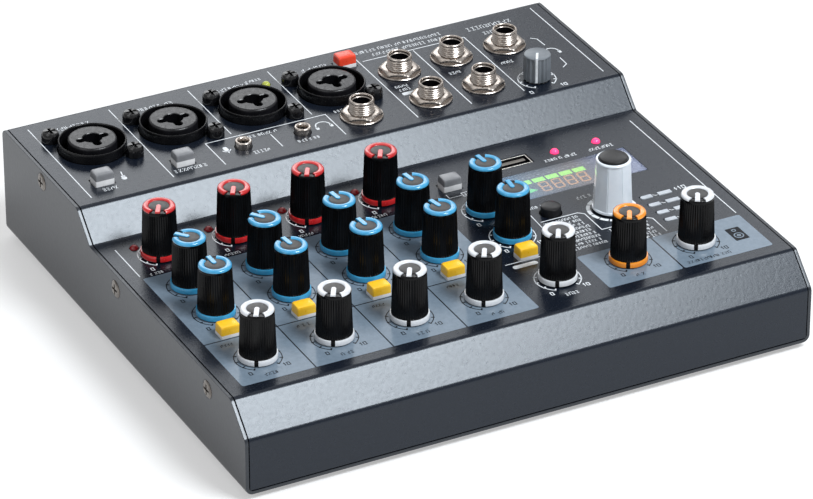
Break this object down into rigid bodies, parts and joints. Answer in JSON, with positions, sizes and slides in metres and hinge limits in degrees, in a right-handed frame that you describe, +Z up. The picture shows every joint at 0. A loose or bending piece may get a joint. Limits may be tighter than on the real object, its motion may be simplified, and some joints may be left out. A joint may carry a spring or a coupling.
{
  "type": "mixing console",
  "caption": "Compact audio mixing console: folded steel case with channel knobs, push buttons, combo and jack sockets, display, encoder and level meter.",
  "frame": {"origin": "middle of the footprint, on the surface that the feet stand on", "axes": "+X to the right of the operator, +Y to the rear panel, +Z up"},
  "size_m": [0.2068, 0.1906, 0.0525],
  "materials": {
    "chassis_coat": "fine-textured semi-gloss powder coat",
    "cover_coat": "fine-textured semi-gloss powder coat",
    "black_screw": "black oxide",
    "foot_rubber": "matt",
    "board_green": "solder mask",
    "standoff_steel": "plated",
    "ribbon_grey": "matt",
    "socket_black": "satin",
    "insert_black": "satin",
    "nickel": "plated",
    "pot_steel": "plated",
    "switch_ivory": "matt",
    "display_black": "gloss",
    "window_glass": "tinted film",
    "usb_shell": "plated",
    "lamp_red": "clear tinted",
    "meter_lens": "satin",
    "rocker_black": "satin",
    "knob_black": "fine ribs, satin",
    "knob_grey": "fine ribs, satin",
    "encoder_silver": "satin",
    "button_grey": "satin",
    "button_yellow": "satin",
    "button_red": "satin"
  },
  "bodies": {
    "console": {"bottom_chassis": "chassis_coat", "top_cover": "cover_coat", "case_screws": "black_screw", "rubber_feet": "foot_rubber", "main_board": "board_green", "jack_board": "board_green", "board_standoffs": "standoff_steel", "ribbon_cable": "ribbon_grey", "combo_housings": "socket_black", "combo_inserts": "insert_black", "combo_screws": "black_screw", "jack_bodies": "socket_black", "jack_barrels": "nickel", "jack_nuts": "nickel", "mini_jacks": "nickel", "potentiometers": "pot_steel", "switch_bodies": "switch_ivory", "encoder_body": "pot_steel", "display_module": "display_black", "display_window": "window_glass", "usb_sockets": "usb_shell", "indicator_leds": "lamp_red", "meter_leds": "meter_lens", "power_inlet": "socket_black", "power_switch_body": "socket_black"},
    "gain_knob_1": {"gain_knob_1": "knob_black"},
    "gain_knob_2": {"gain_knob_2": "knob_black"},
    "gain_knob_3": {"gain_knob_3": "knob_black"},
    "gain_knob_4": {"gain_knob_4": "knob_black"},
    "eq_high_knob_1": {"eq_high_knob_1": "knob_black"},
    "eq_high_knob_2": {"eq_high_knob_2": "knob_black"},
    "eq_high_knob_3": {"eq_high_knob_3": "knob_black"},
    "eq_high_knob_4": {"eq_high_knob_4": "knob_black"},
    "eq_high_knob_5": {"eq_high_knob_5": "knob_black"},
    "eq_low_knob_1": {"eq_low_knob_1": "knob_black"},
    "eq_low_knob_2": {"eq_low_knob_2": "knob_black"},
    "eq_low_knob_3": {"eq_low_knob_3": "knob_black"},
    "eq_low_knob_4": {"eq_low_knob_4": "knob_black"},
    "eq_low_knob_5": {"eq_low_knob_5": "knob_black"},
    "volume_knob_1": {"volume_knob_1": "knob_black"},
    "volume_knob_2": {"volume_knob_2": "knob_black"},
    "volume_knob_3": {"volume_knob_3": "knob_black"},
    "volume_knob_4": {"volume_knob_4": "knob_black"},
    "volume_knob_5": {"volume_knob_5": "knob_black"},
    "fx_knob": {"fx_knob": "knob_black"},
    "main_knob": {"main_knob": "knob_black"},
    "phones_knob": {"phones_knob": "knob_grey"},
    "mute_button_1": {"mute_button_1": "button_yellow"},
    "mute_button_2": {"mute_button_2": "button_yellow"},
    "mute_button_3": {"mute_button_3": "button_yellow"},
    "mute_button_4": {"mute_button_4": "button_yellow"},
    "mute_button_5": {"mute_button_5": "button_yellow"},
    "route_button": {"route_button": "button_grey"},
    "hi_z_button": {"hi_z_button": "button_grey"},
    "low_cut_button": {"low_cut_button": "button_grey"},
    "phantom_button": {"phantom_button": "button_red"},
    "mode_button": {"mode_button": "rocker_black"},
    "encoder_shaft": {"encoder_shaft": "pot_steel"},
    "encoder_knob": {"encoder_knob": "encoder_silver"},
    "power_rocker": {"power_rocker": "rocker_black"}
  },
  "joints": [
    {"name": "gain_knob_1_turn", "type": "hinge", "parent": "console", "child": "gain_knob_1", "pos_m": [-0.08425, 0.0071, 0.03225], "axis": [0, 0, -1], "range_deg": [0, 300]},
    {"name": "gain_knob_2_turn", "type": "hinge", "parent": "console", "child": "gain_knob_2", "pos_m": [-0.05725, 0.0071, 0.03225], "axis": [0, 0, -1], "range_deg": [0, 300]},
    {"name": "gain_knob_3_turn", "type": "hinge", "parent": "console", "child": "gain_knob_3", "pos_m": [-0.03025, 0.0071, 0.03225], "axis": [0, 0, -1], "range_deg": [0, 300]},
    {"name": "gain_knob_4_turn", "type": "hinge", "parent": "console", "child": "gain_knob_4", "pos_m": [-0.00325, 0.0071, 0.03225], "axis": [0, 0, -1], "range_deg": [0, 300]},
    {"name": "eq_high_knob_1_turn", "type": "hinge", "parent": "console", "child": "eq_high_knob_1", "pos_m": [-0.08425, -0.016, 0.03225], "axis": [0, 0, -1], "range_deg": [-111, 189]},
    {"name": "eq_high_knob_2_turn", "type": "hinge", "parent": "console", "child": "eq_high_knob_2", "pos_m": [-0.05725, -0.016, 0.03225], "axis": [0, 0, -1], "range_deg": [-115, 185]},
    {"name": "eq_high_knob_3_turn", "type": "hinge", "parent": "console", "child": "eq_high_knob_3", "pos_m": [-0.03025, -0.016, 0.03225], "axis": [0, 0, -1], "range_deg": [-145, 155]},
    {"name": "eq_high_knob_4_turn", "type": "hinge", "parent": "console", "child": "eq_high_knob_4", "pos_m": [-0.00325, -0.016, 0.03225], "axis": [0, 0, -1], "range_deg": [-144, 156]},
    {"name": "eq_high_knob_5_turn", "type": "hinge", "parent": "console", "child": "eq_high_knob_5", "pos_m": [0.02375, -0.016, 0.03225], "axis": [0, 0, -1], "range_deg": [-146, 154]},
    {"name": "eq_low_knob_1_turn", "type": "hinge", "parent": "console", "child": "eq_low_knob_1", "pos_m": [-0.08425, -0.0354, 0.03225], "axis": [0, 0, -1], "range_deg": [-150, 150]},
    {"name": "eq_low_knob_2_turn", "type": "hinge", "parent": "console", "child": "eq_low_knob_2", "pos_m": [-0.05725, -0.0354, 0.03225], "axis": [0, 0, -1], "range_deg": [-145, 155]},
    {"name": "eq_low_knob_3_turn", "type": "hinge", "parent": "console", "child": "eq_low_knob_3", "pos_m": [-0.03025, -0.0354, 0.03225], "axis": [0, 0, -1], "range_deg": [-146, 154]},
    {"name": "eq_low_knob_4_turn", "type": "hinge", "parent": "console", "child": "eq_low_knob_4", "pos_m": [-0.00325, -0.0354, 0.03225], "axis": [0, 0, -1], "range_deg": [-139, 161]},
    {"name": "eq_low_knob_5_turn", "type": "hinge", "parent": "console", "child": "eq_low_knob_5", "pos_m": [0.02375, -0.0354, 0.03225], "axis": [0, 0, -1], "range_deg": [-156, 144]},
    {"name": "volume_knob_1_turn", "type": "hinge", "parent": "console", "child": "volume_knob_1", "pos_m": [-0.08425, -0.0663, 0.03225], "axis": [0, 0, -1], "range_deg": [0, 300]},
    {"name": "volume_knob_2_turn", "type": "hinge", "parent": "console", "child": "volume_knob_2", "pos_m": [-0.05725, -0.0663, 0.03225], "axis": [0, 0, -1], "range_deg": [0, 300]},
    {"name": "volume_knob_3_turn", "type": "hinge", "parent": "console", "child": "volume_knob_3", "pos_m": [-0.03025, -0.0663, 0.03225], "axis": [0, 0, -1], "range_deg": [0, 300]},
    {"name": "volume_knob_4_turn", "type": "hinge", "parent": "console", "child": "volume_knob_4", "pos_m": [-0.00325, -0.0663, 0.03225], "axis": [0, 0, -1], "range_deg": [0, 300]},
    {"name": "volume_knob_5_turn", "type": "hinge", "parent": "console", "child": "volume_knob_5", "pos_m": [0.02375, -0.0663, 0.03225], "axis": [0, 0, -1], "range_deg": [0, 300]},
    {"name": "fx_knob_turn", "type": "hinge", "parent": "console", "child": "fx_knob", "pos_m": [0.05005, -0.0663, 0.03225], "axis": [0, 0, -1], "range_deg": [0, 300]},
    {"name": "main_knob_turn", "type": "hinge", "parent": "console", "child": "main_knob", "pos_m": [0.07554, -0.0663, 0.03225], "axis": [0, 0, -1], "range_deg": [0, 300]},
    {"name": "phones_knob_turn", "type": "hinge", "parent": "console", "child": "phones_knob", "pos_m": [0.0746, 0.0416, 0.0418], "axis": [0, 0, -1], "range_deg": [0, 300]},
    {"name": "mute_button_1_push", "type": "slide", "parent": "console", "child": "mute_button_1", "axis": [0, 0, -1], "range_m": [0, 0.0025], "stiffness_N_per_m": 300},
    {"name": "mute_button_2_push", "type": "slide", "parent": "console", "child": "mute_button_2", "axis": [0, 0, -1], "range_m": [0, 0.0025], "stiffness_N_per_m": 300},
    {"name": "mute_button_3_push", "type": "slide", "parent": "console", "child": "mute_button_3", "axis": [0, 0, -1], "range_m": [0, 0.0025], "stiffness_N_per_m": 300},
    {"name": "mute_button_4_push", "type": "slide", "parent": "console", "child": "mute_button_4", "axis": [0, 0, -1], "range_m": [0, 0.0025], "stiffness_N_per_m": 300},
    {"name": "mute_button_5_push", "type": "slide", "parent": "console", "child": "mute_button_5", "axis": [0, 0, -1], "range_m": [0, 0.0025], "stiffness_N_per_m": 300},
    {"name": "route_button_push", "type": "slide", "parent": "console", "child": "route_button", "axis": [0, 0, -1], "range_m": [0, 0.0025], "stiffness_N_per_m": 300},
    {"name": "hi_z_button_push", "type": "slide", "parent": "console", "child": "hi_z_button", "axis": [0, 0, -1], "range_m": [0, 0.0025], "stiffness_N_per_m": 300},
    {"name": "low_cut_button_push", "type": "slide", "parent": "console", "child": "low_cut_button", "axis": [0, 0, -1], "range_m": [0, 0.0025], "stiffness_N_per_m": 300},
    {"name": "phantom_button_push", "type": "slide", "parent": "console", "child": "phantom_button", "axis": [0, 0, -1], "range_m": [0, 0.0025], "stiffness_N_per_m": 300},
    {"name": "mode_button_push", "type": "slide", "parent": "console", "child": "mode_button", "axis": [0, 0, -1], "range_m": [0, 0.0005], "stiffness_N_per_m": 600},
    {"name": "encoder_push", "type": "slide", "parent": "console", "child": "encoder_shaft", "axis": [0, 0, -1], "range_m": [0, 0.0005], "stiffness_N_per_m": 1500},
    {"name": "encoder_turn", "type": "hinge", "parent": "encoder_shaft", "child": "encoder_knob", "pos_m": [0.062, -0.0343, 0.03225], "axis": [0, 0, -1], "continuous": true},
    {"name": "power_rocker_tilt", "type": "hinge", "parent": "console", "child": "power_rocker", "pos_m": [-0.08, 0.0893, 0.0222], "axis": [0, 0, 1], "range_deg": [0, 14]}
  ]
}
